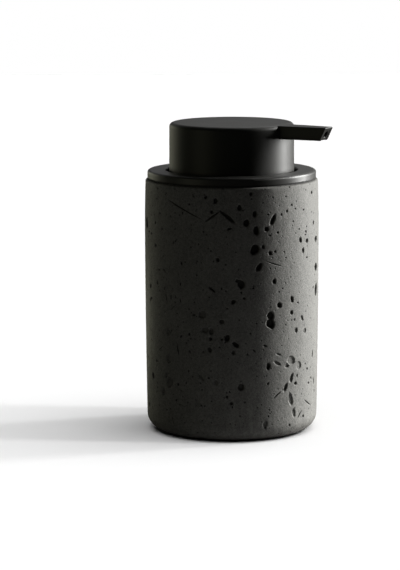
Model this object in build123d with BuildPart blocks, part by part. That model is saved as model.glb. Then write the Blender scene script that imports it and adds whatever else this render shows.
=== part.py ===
"""Soap pump dispenser: a thick-walled cast vessel with a lift-out plastic pump unit.

The pump unit is a flat collar with a deep round well, a wide drum-shaped head that
travels down into that well, and a spring-return piston pump hanging under the collar.
Millimetres, +Z up.  The origin is the centre of the foot pad's underside, and the
spout points along +X.
"""

from build123d import *
import math
import os

os.makedirs("parts", exist_ok=True)

# ---------------------------------------------------------------- driving dimensions

# Cast vessel
vessel_radius = 40.0  # at its widest
vessel_height = 116.3  # rim above the table
shoulder_height = 24.5  # from the widest place up to the rim
shoulder_taper = 0.4  # how much narrower the side is at the rim
foot_taper = 0.85  # and at the foot
foot_rounding = 6.5
rim_rounding = 1.0
vessel_wall = 7.4
vessel_floor = 8.0
bowl_rounding = 6.0
mouth_wall = 6.6  # beside the smooth band that the lid's seal grips
mouth_depth = 21.0
mouth_chamfer = 0.6

# Foot pad
pad_radius = 28.0
pad_thickness = 1.6
pad_proud = 0.5  # how far the pad lifts the vessel off the table
pad_clearance = 0.2

# Collar, with the well that the head travels in
gasket_thickness = 0.6
gasket_width = 3.1
gasket_inset = 1.0  # from the collar's edge
collar_inset = 1.3  # from the vessel's widest radius
collar_thickness = 3.6
collar_rounding = 1.2
collar_under_rounding = 0.3
skirt_gap = 1.2  # between the skirt and the vessel's mouth
well_wall = 1.9
well_floor = 2.0
well_rounding = 0.6
floor_rib_count = 6
floor_rib_height = 3.0
floor_rib_thickness = 1.4
seal_groove_depth = 0.8
seal_groove_height = 9.0
seal_groove_drop = 5.0  # from the collar's underside to the top of the groove
seal_band = 1.0
seal_lip_count = 3
seal_lip_thickness = 1.0
neck_wall = 3.7
neck_gap = 0.3  # air path round the barrel

# Closure nut that clamps the barrel down on the neck
nut_wall = 2.5
nut_top = 1.4
nut_rounding = 0.7
nut_lift = 0.4  # above the well's floor
nut_rib_count = 12
nut_rib_radius = 0.8

# Barrel
barrel_bore_radius = 5.9
barrel_wall = 1.5
barrel_flange_inset = 1.0  # from the neck's outside
barrel_flange_thickness = 1.4
barrel_gasket_thickness = 0.8
vent_radius = 0.5
inlet_radius = 1.9
inlet_length = 2.5
inlet_ball_radius = 2.75
inlet_ball_room = 0.55  # round the ball in its chamber
tail_wall = 1.6
tail_taper = 4.0
cage_thickness = 1.5
cage_port_count = 4
cage_port_radius = 0.85

# Dip tube
tube_bore_radius = 2.1
tube_wall = 0.9
tube_seat_length = 12.0  # how far it is pushed into the barrel's tail
tube_floor_gap = 3.0
tube_cut_angle = 40.0

# Return spring
spring_wire_radius = 0.45
spring_mean_radius = 4.3
spring_turns = 6
spring_wire_sides = 6  # of the wire's section, which keeps the long coil light
spring_length = 24.0  # as fitted, with the head up

# Piston, stem and their parts
stroke = 13.0
piston_height = 6.0
piston_lip = 1.5
stem_bore_radius = 1.5
stem_journal_wall = 1.5  # on the narrower length that the piston sits on
stem_shoulder = 0.4
retainer_flange_margin = 0.25  # past the spring
retainer_flange_thickness = 1.2
retainer_hub_margin = 0.35  # inside the spring
retainer_hub_height = 3.0
retainer_hub_chamfer = 0.5
retainer_spigot_height = 3.5
retainer_spigot_wall = 0.55
guide_length = 4.8
guide_flange_inset = 1.4  # from the neck's outside
guide_flange_thickness = 0.8
guide_nose_wall = 0.8
stem_seal_width = 1.15
stem_seal_thickness = 1.2
outlet_ball_radius = 2.25
outlet_ball_room = 0.45
outlet_cup_wall = 1.5
outlet_cup_floor = 1.8
outlet_stop_inset = 0.4  # how far the stop above the outlet ball reaches in over it
ball_travel = 2.0

# Head and spout
head_gap = 1.6  # between the head's lower edge and the well
head_rise = 21.7  # top of the head above the collar
head_overlap = 3.4  # how far it reaches into the well while it is up
head_landing = 1.6  # left under it when it is right down
head_draft = 0.3  # degrees
head_rounding = 2.0
head_wall = 1.8
head_top_thickness = 1.6
head_rib_count = 7
head_rib_height = 5.6
head_rib_thickness = 1.2
boss_wall = 1.4
boss_height = 7.5
spout_length = 22.1  # from the head's side to the top of the tip
spout_drop = 0.2  # from the top of the head to the spout's top face
spout_height = 6.1
spout_root_width = 11.0
spout_tip_width = 7.3
spout_tip_angle = 26.0  # the tip leans back under itself
spout_wall = 1.3
spout_under_rounding = 1.2
spout_top_rounding = 0.5
spout_tip_rounding = 0.3
socket_wall = 2.0
socket_depth = 10.4  # below the head's top plate
socket_gap = 1.2  # left over the nut when the head is right down
channel_radius = 1.35
channel_drop = 3.5  # channel's centre below the top of the head
channel_chamfer = 0.3
nozzle_recess = 0.2

# Fits
running_clearance = 0.05  # between pieces that slide or turn on each other
seat_clearance = 0.02  # under a resting ball
part_clearance = 0.1  # round pieces that are dropped into place
ball_stop_gap = 0.15

# ---------------------------------------------------------------- radii that follow

cavity_radius = vessel_radius - vessel_wall
mouth_radius = vessel_radius - mouth_wall
collar_radius = vessel_radius - collar_inset
gasket_outer_radius = collar_radius - gasket_inset
gasket_inner_radius = gasket_outer_radius - gasket_width
skirt_radius = mouth_radius - skirt_gap
groove_radius = skirt_radius - seal_groove_depth
well_radius = skirt_radius - well_wall

barrel_radius = barrel_bore_radius + barrel_wall
neck_bore_radius = barrel_radius + neck_gap
neck_radius = neck_bore_radius + neck_wall
barrel_flange_radius = neck_radius - barrel_flange_inset
guide_flange_radius = neck_radius - guide_flange_inset
nut_bore_radius = neck_radius + part_clearance
nut_radius = nut_bore_radius + nut_wall

stem_journal_radius = stem_bore_radius + stem_journal_wall
stem_radius = stem_journal_radius + stem_shoulder
guide_bore_radius = stem_radius + running_clearance
stem_seal_radius = guide_bore_radius + stem_seal_width
guide_nose_radius = stem_seal_radius + guide_nose_wall
outlet_cup_radius = outlet_ball_radius + outlet_ball_room
stem_head_radius = outlet_cup_radius + outlet_cup_wall
socket_radius = stem_head_radius + socket_wall
boss_bore_radius = socket_radius + part_clearance
piston_outer = barrel_bore_radius - running_clearance
piston_inner = stem_journal_radius + running_clearance
retainer_flange_radius = spring_mean_radius + spring_wire_radius + retainer_flange_margin
retainer_hub_radius = spring_mean_radius - spring_wire_radius - retainer_hub_margin
retainer_bore_radius = stem_bore_radius - retainer_spigot_wall
inlet_chamber_radius = inlet_ball_radius + inlet_ball_room
tube_radius = tube_bore_radius + tube_wall
tail_radius = tube_radius + tail_wall

# ---------------------------------------------------------------- heights that follow

cavity_floor = pad_proud + vessel_floor
widest_height = vessel_height - shoulder_height
collar_bottom = vessel_height + gasket_thickness
collar_top = collar_bottom + collar_thickness
groove_top = collar_bottom - seal_groove_drop
groove_bottom = groove_top - seal_groove_height

head_top = collar_top + head_rise
head_bottom = collar_top - head_overlap
head_ceiling = head_top - head_top_thickness
spout_top = head_top - spout_drop
spout_bottom = spout_top - spout_height
channel_height = head_top - channel_drop
well_bottom = head_bottom - stroke - head_landing
skirt_bottom = well_bottom - well_floor

socket_bottom = head_ceiling - socket_depth
nut_height = socket_bottom - stroke - socket_gap
guide_flange_top = nut_height - nut_top
flange_top = guide_flange_top - guide_flange_thickness
flange_bottom = flange_top - barrel_flange_thickness
neck_top = flange_bottom - barrel_gasket_thickness
guide_bottom = flange_top - guide_length
stem_seal_bottom = nut_height - stem_seal_thickness

piston_top = guide_bottom - running_clearance
piston_bottom = piston_top - piston_height
retainer_top = piston_bottom - running_clearance
spring_top = retainer_top - retainer_flange_thickness
spring_bottom = spring_top - spring_length
chamber_top = spring_bottom - cage_thickness


def ball_centre(seat_height, port_radius, ball_radius):
    """Height of a ball resting in a 45 degree seat that opens upward from a round port."""
    return seat_height - port_radius + ball_radius * math.sqrt(2) + seat_clearance


inlet_cone = inlet_chamber_radius - inlet_radius
inlet_seat = chamber_top - inlet_cone - 2 * inlet_ball_radius - ball_travel
inlet_ball_height = ball_centre(inlet_seat, inlet_radius, inlet_ball_radius)
cage_pin_bottom = inlet_ball_height + inlet_ball_radius + ball_travel + ball_stop_gap
tube_top = inlet_seat - inlet_length
tail_bottom = tube_top - tube_seat_length
tube_bottom = cavity_floor + tube_floor_gap

outlet_cone = outlet_cup_radius - stem_bore_radius
outlet_seat = socket_bottom + outlet_cup_floor
outlet_ball_height = ball_centre(outlet_seat, stem_bore_radius, outlet_ball_radius)
outlet_stop_radius = outlet_ball_radius - outlet_stop_inset
outlet_stop_rise = math.sqrt(outlet_ball_radius**2 - outlet_stop_radius**2)
stem_top = outlet_ball_height + ball_travel + ball_stop_gap + outlet_stop_rise

# ---------------------------------------------------------------- spout's plan shape

head_draft_slope = math.tan(math.radians(head_draft))
head_foot_radius = well_radius - head_gap
head_radius = head_foot_radius - (head_top - head_bottom) * head_draft_slope
spout_reach = head_radius + spout_length
spout_far_end = spout_reach + spout_height  # past the tip, for what is cut back to it
spout_slope = (spout_root_width - spout_tip_width) / 2 / spout_length


def spout_outline(inset, reach):
    """Corners of the tapered plan shape of the spout, narrowed by inset on each side."""
    axis_half = spout_root_width / 2 + spout_slope * head_radius - inset
    reach_half = axis_half - spout_slope * reach
    return [(0, -axis_half), (reach, -reach_half), (reach, reach_half), (0, axis_half)]


def tip_face(setback):
    """Plane of the spout's slanted end, set back into the spout, with its normal outward."""
    lean = math.radians(spout_tip_angle)
    corner = (spout_reach - setback, 0, spout_top)
    return Plane(corner, x_dir=(0, 1, 0), z_dir=(math.cos(lean), 0, -math.sin(lean)))


# ---------------------------------------------------------------- vessel and foot pad

with BuildPart() as vessel:
    with BuildSketch(Plane.XZ):
        with BuildLine():
            foot = (vessel_radius - foot_taper, pad_proud)
            widest = (vessel_radius, widest_height)
            shoulder = (vessel_radius - shoulder_taper, vessel_height)
            Line((0, pad_proud), foot)
            TangentArc(widest, foot, tangent=(0, -1))
            TangentArc(widest, shoulder, tangent=(0, 1))
            Line(shoulder, (0, vessel_height))
            Line((0, vessel_height), (0, pad_proud))
        make_face()
    revolve(axis=Axis.Z)
    fillet(vessel.edges().filter_by(GeomType.CIRCLE).sort_by(Axis.Z)[0], foot_rounding)
    fillet(vessel.edges().filter_by(GeomType.CIRCLE).sort_by(Axis.Z)[-1], rim_rounding)
    with Locations((0, 0, vessel_height)):
        bore_depth = vessel_height - cavity_floor
        CounterBoreHole(cavity_radius, mouth_radius, mouth_depth, depth=bore_depth)
    bore_edges = vessel.edges().filter_by(GeomType.CIRCLE)
    bowl_edges = bore_edges.filter_by(lambda e: abs(e.radius - cavity_radius) < 1e-3)
    fillet(bowl_edges.sort_by(Axis.Z)[0], bowl_rounding)
    mouth_edges = bore_edges.filter_by(lambda e: abs(e.radius - mouth_radius) < 1e-3)
    chamfer(mouth_edges.sort_by(Axis.Z)[-1], mouth_chamfer)
    with BuildSketch(Plane.XY.offset(pad_proud)):
        Circle(pad_radius + pad_clearance)
    extrude(amount=pad_thickness - pad_proud, mode=Mode.SUBTRACT)
vessel.part.label = "vessel"

with BuildPart() as base_pad:
    with BuildSketch(Plane.XY):
        Circle(pad_radius)
    extrude(amount=pad_thickness)
base_pad.part.label = "base_pad"

# ---------------------------------------------------------------- collar and its seals

with BuildPart() as collar:
    with BuildSketch(Plane.XY.offset(collar_bottom)):
        Circle(collar_radius)
    extrude(amount=collar_thickness)
    fillet(collar.edges().sort_by(Axis.Z)[-1], collar_rounding)
    fillet(collar.edges().sort_by(Axis.Z)[0], collar_under_rounding)
    with BuildSketch(Plane.XY.offset(skirt_bottom)):
        Circle(skirt_radius)
    extrude(amount=collar_bottom - skirt_bottom)
    with BuildSketch(Plane.XY.offset(well_bottom)):
        Circle(well_radius)
    extrude(amount=collar_top - well_bottom, mode=Mode.SUBTRACT)
    round_edges = collar.edges().filter_by(GeomType.CIRCLE)
    well_edges = round_edges.filter_by(lambda e: abs(e.radius - well_radius) < 1e-3)
    fillet(well_edges.sort_by(Axis.Z)[-1], well_rounding)
    with BuildSketch(Plane.XY.offset(groove_bottom)):
        Circle(skirt_radius)
        Circle(groove_radius, mode=Mode.SUBTRACT)
    extrude(amount=seal_groove_height, mode=Mode.SUBTRACT)
    with BuildSketch(Plane.XY.offset(skirt_bottom - floor_rib_height)):
        rib_length = well_radius - neck_radius
        rib_middle = neck_radius + rib_length / 2
        with PolarLocations(rib_middle, floor_rib_count, start_angle=180 / floor_rib_count):
            Rectangle(rib_length + floor_rib_thickness, floor_rib_thickness)
    extrude(amount=floor_rib_height)
    with BuildSketch(Plane.XY.offset(skirt_bottom - floor_rib_height)):
        Circle(neck_radius)
    extrude(amount=neck_top - skirt_bottom + floor_rib_height)
    with BuildSketch(Plane.XY.offset(skirt_bottom - floor_rib_height)):
        Circle(neck_bore_radius)
    extrude(amount=neck_top - skirt_bottom + floor_rib_height, mode=Mode.SUBTRACT)
collar.part.label = "collar"

with BuildPart() as rim_gasket:
    with BuildSketch(Plane.XY.offset(vessel_height)):
        Circle(gasket_outer_radius)
        Circle(gasket_inner_radius, mode=Mode.SUBTRACT)
    extrude(amount=gasket_thickness)
rim_gasket.part.label = "rim_gasket"

with BuildPart() as mouth_seal:
    band_radius = groove_radius + seal_band
    lip_root_radius = groove_radius + seal_band / 2
    lip_tip_radius = mouth_radius - running_clearance
    lip_pitch = seal_groove_height / seal_lip_count
    with BuildSketch(Plane.XZ):
        with Locations(((groove_radius + band_radius) / 2, (groove_top + groove_bottom) / 2)):
            Rectangle(seal_band, seal_groove_height)
        for lip in range(seal_lip_count):
            lip_top = groove_bottom + (lip + 0.5) * lip_pitch + seal_lip_thickness / 2
            with BuildLine():
                Polyline(
                    (lip_root_radius, lip_top - 1.5 * seal_lip_thickness),
                    (lip_tip_radius, lip_top - seal_lip_thickness / 4),
                    (lip_tip_radius, lip_top),
                    (lip_root_radius, lip_top),
                    close=True,
                )
            make_face()
    revolve(axis=Axis.Z)
mouth_seal.part.label = "mouth_seal"

# ---------------------------------------------------------------- closure nut

with BuildPart() as closure_nut:
    nut_bottom = well_bottom + nut_lift
    with BuildSketch(Plane.XY.offset(nut_bottom)):
        Circle(nut_radius)
    extrude(amount=nut_height - nut_bottom)
    fillet(closure_nut.edges().sort_by(Axis.Z)[-1], nut_rounding)
    with BuildSketch(Plane.XY.offset(nut_bottom)):
        with PolarLocations(nut_radius, nut_rib_count):
            Circle(nut_rib_radius)
    extrude(amount=nut_height - nut_bottom - nut_top)
    with BuildSketch(Plane.XY.offset(nut_bottom)):
        Circle(nut_bore_radius)
    extrude(amount=guide_flange_top - nut_bottom, mode=Mode.SUBTRACT)
    with BuildSketch(Plane.XY.offset(guide_flange_top)):
        Circle(guide_nose_radius + part_clearance)
    extrude(amount=nut_top, mode=Mode.SUBTRACT)
closure_nut.part.label = "closure_nut"

# ---------------------------------------------------------------- barrel and inlet valve

with BuildPart() as barrel_gasket:
    with BuildSketch(Plane.XY.offset(neck_top)):
        Circle(barrel_flange_radius)
        Circle(barrel_radius + part_clearance, mode=Mode.SUBTRACT)
    extrude(amount=barrel_gasket_thickness)
barrel_gasket.part.label = "barrel_gasket"

with BuildPart() as pump_barrel:
    with BuildSketch(Plane.XZ):
        with BuildLine():
            Polyline(
                (tube_radius, tail_bottom),
                (tail_radius, tail_bottom),
                (tail_radius, inlet_seat),
                (barrel_radius, inlet_seat + tail_taper),
                (barrel_radius, flange_bottom),
                (barrel_flange_radius, flange_bottom),
                (barrel_flange_radius, flange_top),
                (barrel_bore_radius, flange_top),
                (barrel_bore_radius, chamber_top),
                (inlet_chamber_radius, chamber_top),
                (inlet_chamber_radius, inlet_seat + inlet_cone),
                (inlet_radius, inlet_seat),
                (inlet_radius, tube_top),
                (tube_radius, tube_top),
                close=True,
            )
        make_face()
    revolve(axis=Axis.Z)
    with BuildSketch(Plane.XZ.offset(-barrel_radius)):
        with Locations((0, (piston_bottom + piston_top) / 2)):
            Circle(vent_radius)
    extrude(amount=barrel_radius, mode=Mode.SUBTRACT)
pump_barrel.part.label = "pump_barrel"

with BuildPart() as valve_cage:
    with BuildSketch(Plane.XY.offset(chamber_top)):
        Circle(barrel_bore_radius)
        with PolarLocations(inlet_chamber_radius - cage_port_radius, cage_port_count):
            Circle(cage_port_radius, mode=Mode.SUBTRACT)
    extrude(amount=cage_thickness)
    with BuildSketch(Plane.XY.offset(cage_pin_bottom)):
        Circle(inlet_chamber_radius - 2 * cage_port_radius - part_clearance)
    extrude(amount=chamber_top - cage_pin_bottom)
valve_cage.part.label = "valve_cage"

with BuildPart() as inlet_ball:
    with Locations((0, 0, inlet_ball_height)):
        Sphere(inlet_ball_radius)
inlet_ball.part.label = "inlet_ball"

with BuildPart() as dip_tube:
    with BuildSketch(Plane.XY.offset(tube_bottom)):
        Circle(tube_radius)
        Circle(tube_bore_radius, mode=Mode.SUBTRACT)
    extrude(amount=tube_top - tube_bottom)
    cut_normal = Vector(0, 0, 1).rotate(Axis.Y, tube_cut_angle)
    split(bisect_by=Plane((tube_radius, 0, tube_bottom), z_dir=cut_normal), keep=Keep.TOP)
dip_tube.part.label = "dip_tube"

# ---------------------------------------------------------------- spring

with BuildPart() as return_spring:
    with BuildLine():
        coil_pitch = spring_length / spring_turns
        Helix(coil_pitch, spring_length, spring_mean_radius, center=(0, 0, spring_bottom))
    wire_start = (spring_mean_radius, 0, spring_bottom)
    with BuildSketch(Plane(wire_start, x_dir=(1, 0, 0), z_dir=(0, 1, 0))):
        RegularPolygon(spring_wire_radius, spring_wire_sides)
    sweep(is_frenet=True)
    split(bisect_by=Plane.XY.offset(spring_bottom), keep=Keep.TOP)
    split(bisect_by=Plane.XY.offset(spring_top), keep=Keep.BOTTOM)
return_spring.part.label = "return_spring"

# ---------------------------------------------------------------- piston and stem

with BuildPart() as piston:
    waist = piston_outer - piston_lip / 2
    lip_root = (piston_inner + piston_outer) / 2
    with BuildSketch(Plane.XZ):
        with BuildLine():
            Polyline(
                (piston_inner, piston_bottom),
                (lip_root - piston_lip / 4, piston_bottom),
                (lip_root, piston_bottom + piston_lip),
                (piston_outer - piston_lip / 4, piston_bottom),
                (piston_outer, piston_bottom),
                (piston_outer, piston_bottom + piston_lip / 2),
                (waist, piston_bottom + 1.5 * piston_lip),
                (waist, (piston_bottom + piston_top) / 2),
                (piston_inner, (piston_bottom + piston_top) / 2),
                close=True,
            )
        make_face()
        mirror(about=Plane.XZ.offset(-(piston_bottom + piston_top) / 2))
    revolve(axis=Axis.Z)
piston.part.label = "piston"

with BuildPart() as piston_retainer:
    hub_bottom = spring_top - retainer_hub_height
    spigot_top = retainer_top + retainer_spigot_height
    with BuildSketch(Plane.XZ):
        with BuildLine():
            Polyline(
                (retainer_bore_radius, hub_bottom),
                (retainer_hub_radius - retainer_hub_chamfer, hub_bottom),
                (retainer_hub_radius, hub_bottom + retainer_hub_chamfer),
                (retainer_hub_radius, spring_top),
                (retainer_flange_radius, spring_top),
                (retainer_flange_radius, retainer_top),
                (stem_bore_radius, retainer_top),
                (stem_bore_radius, spigot_top),
                (retainer_bore_radius, spigot_top),
                close=True,
            )
        make_face()
    revolve(axis=Axis.Z)
piston_retainer.part.label = "piston_retainer"

with BuildPart() as stem:
    stem_shoulder_height = piston_top + running_clearance
    with BuildSketch(Plane.XZ):
        with BuildLine():
            Polyline(
                (stem_bore_radius, retainer_top),
                (stem_journal_radius, retainer_top),
                (stem_journal_radius, stem_shoulder_height),
                (stem_radius, stem_shoulder_height),
                (stem_radius, socket_bottom - stem_head_radius + stem_radius),
                (stem_head_radius, socket_bottom),
                (stem_head_radius, stem_top),
                (outlet_cup_radius, stem_top),
                (outlet_cup_radius, outlet_seat + outlet_cone),
                (stem_bore_radius, outlet_seat),
                close=True,
            )
        make_face()
    revolve(axis=Axis.Z)
stem.part.label = "stem"

with BuildPart() as outlet_ball:
    with Locations((0, 0, outlet_ball_height)):
        Sphere(outlet_ball_radius)
outlet_ball.part.label = "outlet_ball"

with BuildPart() as stem_guide:
    with BuildSketch(Plane.XZ):
        with BuildLine():
            Polyline(
                (guide_bore_radius, guide_bottom),
                (barrel_bore_radius, guide_bottom),
                (barrel_bore_radius, flange_top),
                (guide_flange_radius, flange_top),
                (guide_flange_radius, guide_flange_top),
                (guide_nose_radius, guide_flange_top),
                (guide_nose_radius, nut_height),
                (stem_seal_radius, nut_height),
                (stem_seal_radius, stem_seal_bottom),
                (guide_bore_radius, stem_seal_bottom),
                close=True,
            )
        make_face()
    revolve(axis=Axis.Z)
stem_guide.part.label = "stem_guide"

with BuildPart() as stem_seal:
    with BuildSketch(Plane.XY.offset(stem_seal_bottom)):
        Circle(stem_seal_radius)
        Circle(guide_bore_radius, mode=Mode.SUBTRACT)
    extrude(amount=stem_seal_thickness)
stem_seal.part.label = "stem_seal"

# ---------------------------------------------------------------- head with its spout shell

with BuildPart() as pump_head:
    # Spout, cut off along its slanted tip, with its long edges and tip rounded
    with BuildSketch(Plane.XY.offset(spout_bottom)):
        with BuildLine():
            Polyline(*spout_outline(0, spout_far_end), close=True)
        make_face()
    extrude(amount=spout_height)
    split(bisect_by=tip_face(0), keep=Keep.BOTTOM)
    long_edges = pump_head.edges().filter_by(lambda e: abs(e.tangent_at(0.5).X) > 0.9)
    fillet(long_edges.group_by(Axis.Z)[0], spout_under_rounding)
    long_edges = pump_head.edges().filter_by(lambda e: abs(e.tangent_at(0.5).X) > 0.9)
    fillet(long_edges.group_by(Axis.Z)[-1], spout_top_rounding)
    fillet(pump_head.faces().sort_by(Axis.X)[-1].edges(), spout_tip_rounding)

    # Drum, drawn with its rounded top edge and hollowed from below
    with BuildSketch(Plane.XZ) as drum_profile:
        with BuildLine():
            Polyline(
                (0, head_bottom),
                (head_foot_radius, head_bottom),
                (head_radius, head_top),
                (0, head_top),
                close=True,
            )
        make_face()
        top_corners = drum_profile.vertices().group_by(Axis.Y)[-1]
        fillet(top_corners.sort_by(Axis.X)[-1], head_rounding)
    revolve(axis=Axis.Z)
    with BuildSketch(Plane.XY.offset(head_bottom)):
        Circle(head_foot_radius - head_wall)
    extrude(amount=head_ceiling - head_bottom, taper=head_draft, mode=Mode.SUBTRACT)

    # Boss round the nozzle's socket, open towards the spout, and stiffening ribs
    with BuildSketch(Plane.XY.offset(head_ceiling - boss_height)):
        Circle(boss_bore_radius + boss_wall)
        Circle(boss_bore_radius, mode=Mode.SUBTRACT)
        with BuildLine():
            Polyline(*spout_outline(spout_wall, head_radius), close=True)
        make_face(mode=Mode.SUBTRACT)
    extrude(amount=boss_height)
    with BuildSketch(Plane.XY.offset(head_ceiling - head_rib_height)):
        rib_start = boss_bore_radius + boss_wall / 2
        rib_length = head_radius - head_wall / 2 - rib_start
        rib_step = 360 / (head_rib_count + 1)
        with PolarLocations(
            rib_start + rib_length / 2,
            head_rib_count,
            start_angle=rib_step,
            angular_range=360 - 2 * rib_step,
            endpoint=True,
        ):
            Rectangle(rib_length, head_rib_thickness)
    extrude(amount=head_rib_height)

    # Trough in the spout for the nozzle
    with BuildSketch(Plane.XY.offset(spout_bottom)):
        with BuildLine():
            Polyline(*spout_outline(spout_wall, spout_far_end), close=True)
        make_face()
    extrude(amount=head_ceiling - spout_bottom, mode=Mode.SUBTRACT)
pump_head.part.label = "pump_head"

# ---------------------------------------------------------------- nozzle inside the spout

with BuildPart() as spout_nozzle:
    # Bar that fills the spout's trough, and the socket for the stem
    bar_bottom = spout_bottom + nozzle_recess
    with BuildSketch(Plane.XY.offset(bar_bottom)):
        with BuildLine():
            Polyline(*spout_outline(spout_wall + running_clearance, spout_far_end), close=True)
        make_face()
    extrude(amount=head_ceiling - bar_bottom)
    split(bisect_by=tip_face(nozzle_recess), keep=Keep.BOTTOM)
    with BuildSketch(Plane.XY.offset(socket_bottom)):
        Circle(socket_radius)
    extrude(amount=socket_depth)
    with BuildSketch(Plane.XY.offset(socket_bottom)):
        Circle(stem_head_radius)
    extrude(amount=stem_top - socket_bottom, mode=Mode.SUBTRACT)

    # Passage up from the stem, which also stops the outlet ball, and along the spout
    with BuildSketch(Plane.XY.offset(stem_top)):
        Circle(outlet_stop_radius)
    extrude(amount=channel_height + channel_radius - stem_top, mode=Mode.SUBTRACT)
    with BuildSketch(Plane.YZ):
        with Locations((0, channel_height)):
            Circle(channel_radius)
    extrude(amount=spout_far_end, mode=Mode.SUBTRACT)
    end_face = spout_nozzle.faces().sort_by(Axis.X)[-1]
    chamfer(end_face.inner_wires()[0].edges(), channel_chamfer)
spout_nozzle.part.label = "spout_nozzle"

# ---------------------------------------------------------------- one file for each piece

builders = [
    vessel,
    base_pad,
    collar,
    rim_gasket,
    mouth_seal,
    closure_nut,
    barrel_gasket,
    pump_barrel,
    valve_cage,
    inlet_ball,
    dip_tube,
    return_spring,
    piston,
    piston_retainer,
    stem,
    outlet_ball,
    stem_guide,
    stem_seal,
    pump_head,
    spout_nozzle,
]
for builder in builders:
    export_step(builder.part, f"parts/{builder.part.label}.step")
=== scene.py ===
import math
import random

import bpy
import numpy as np
from mathutils import Matrix, Vector


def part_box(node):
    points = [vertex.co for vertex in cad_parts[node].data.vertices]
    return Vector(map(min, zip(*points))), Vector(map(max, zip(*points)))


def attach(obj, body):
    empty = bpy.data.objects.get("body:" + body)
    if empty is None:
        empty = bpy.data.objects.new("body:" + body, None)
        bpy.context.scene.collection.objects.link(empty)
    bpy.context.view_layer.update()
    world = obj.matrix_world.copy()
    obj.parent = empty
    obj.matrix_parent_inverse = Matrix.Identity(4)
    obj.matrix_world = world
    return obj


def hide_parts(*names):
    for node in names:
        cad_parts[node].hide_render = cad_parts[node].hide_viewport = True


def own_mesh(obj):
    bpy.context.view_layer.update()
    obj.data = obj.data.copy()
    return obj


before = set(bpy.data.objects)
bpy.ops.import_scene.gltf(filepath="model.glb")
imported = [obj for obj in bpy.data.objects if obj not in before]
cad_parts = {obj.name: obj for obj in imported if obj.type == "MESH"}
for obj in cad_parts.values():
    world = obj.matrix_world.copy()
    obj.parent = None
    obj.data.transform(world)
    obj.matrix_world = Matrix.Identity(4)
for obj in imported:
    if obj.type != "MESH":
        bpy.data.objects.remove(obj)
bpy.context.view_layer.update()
mm = 0.001
print("frame loaded:", len(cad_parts), "nodes")


# shader helpers

class Wire:
    # wraps a node socket, so that shader maths can be written as Python expressions
    def __init__(self, tree, socket=None):
        self.tree = tree
        self.socket = socket

    def node(self, kind, settings, inputs, output=0):
        made = self.tree.nodes.new(kind)
        for key, value in settings.items():
            if key == "stops":
                for element, (position, level) in zip(made.color_ramp.elements, value):
                    element.position = position
                    element.color = (level, level, level, 1.0)
            else:
                setattr(made, key, value)
        for key, value in inputs.items():
            if isinstance(value, Wire):
                self.tree.links.new(value.socket, made.inputs[key])
            else:
                made.inputs[key].default_value = value
        return Wire(self.tree, made.outputs[output] if made.outputs else None)

    def maths(self, operation, left, right):
        return self.node("ShaderNodeMath", {"operation": operation}, {0: left, 1: right})

    def __add__(self, other):
        return self.maths("ADD", self, other)

    def __radd__(self, other):
        return self.maths("ADD", other, self)

    def __sub__(self, other):
        return self.maths("SUBTRACT", self, other)

    def __rsub__(self, other):
        return self.maths("SUBTRACT", other, self)

    def __mul__(self, other):
        return self.maths("MULTIPLY", self, other)

    def __rmul__(self, other):
        return self.maths("MULTIPLY", other, self)

    def __gt__(self, other):
        return self.maths("GREATER_THAN", self, other)


def newShader(name):
    material = bpy.data.materials.new(name)
    material.use_nodes = True
    material.node_tree.nodes.clear()
    return material, Wire(material.node_tree)


def objectCoords(wire):
    return wire.node("ShaderNodeTexCoord", {}, {}, "Object")


def noise(wire, coords, featureSize, detail=2.0, roughness=0.5):
    inputs = {"Vector": coords, "Scale": 1 / featureSize, "Detail": detail, "Roughness": roughness}
    return wire.node("ShaderNodeTexNoise", {}, inputs)


def ramp(wire, value, stops):
    return wire.node("ShaderNodeValToRGB", {"stops": stops}, {0: value})


def blendColours(wire, factor, first, second):
    inputs = {0: factor, 6: first, 7: second}
    return wire.node("ShaderNodeMix", {"data_type": "RGBA"}, inputs, 2)


def bump(wire, height, depth, under=None):
    # under is a coarser bump that this one lies on
    inputs = {"Height": height, "Distance": depth}
    if under is not None:
        inputs["Normal"] = under
    return wire.node("ShaderNodeBump", {}, inputs, "Normal")


def finishShader(wire, inputs):
    shader = wire.node("ShaderNodeBsdfPrincipled", {}, inputs)
    wire.node("ShaderNodeOutputMaterial", {}, {"Surface": shader})


def grey(level, warmth=0.0):
    return (level * (1 + warmth), level, level * (1 - warmth), 1.0)


def tinted(colour, factor):
    return tuple(channel * factor for channel in colour[:3]) + (1.0,)


# materials

stoneLook = {
    "pale": (0.154, 0.151, 0.14, 1.0),
    "dark": (0.077, 0.076, 0.07, 1.0),
    # the pit colour is painted shade, for the hollows, pinholes and specks
    "pit": (0.022, 0.022, 0.017, 1.0),
    "cloudSize": 14 * mm,
    "swellSize": 6 * mm,
    "grainSize": 1.1 * mm,
    "dustSize": 0.42 * mm,
    "toneShares": (0.15, 0.1, 0.5, 0.55),  # of the clouds, swell, grain and dust
    "darkBelow": 0.52,
    "paleAbove": 0.78,
    "pinholeSpacing": 3.4 * mm,
    "pinholeShare": 0.8,  # of the cells, those that have one
    "pinholeRadius": 0.12,  # as a share of the spacing
    "pinholeShade": 0.95,
    "speckSpacing": 1.7 * mm,
    "speckShare": 0.45,
    "speckRadius": 0.14,
    "speckShade": 0.7,
    "speckEdge": 0.3,  # softness of pinholes and specks, as a share of the radius
    "streakWidth": 2.2 * mm,  # of the pale runs above the foot
    "streakHeight": 40 * mm,
    "streakTop": 28 * mm,
    "streakFade": 0.4,  # of streakTop, from where they grow fainter
    "streakFrom": 0.52,
    "streakFull": 0.68,
    "streakTone": 0.4,
    "swellDepth": 0.25 * mm,
    "grainDepth": 0.11 * mm,
    "reliefShares": (0.6, 1.1, 1.2),  # of the grain, the dust and, sunk, the pinholes and specks
    "roughness": 0.56,
    "grainRoughness": 0.18,
    "specular": 0.3,
}


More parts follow.
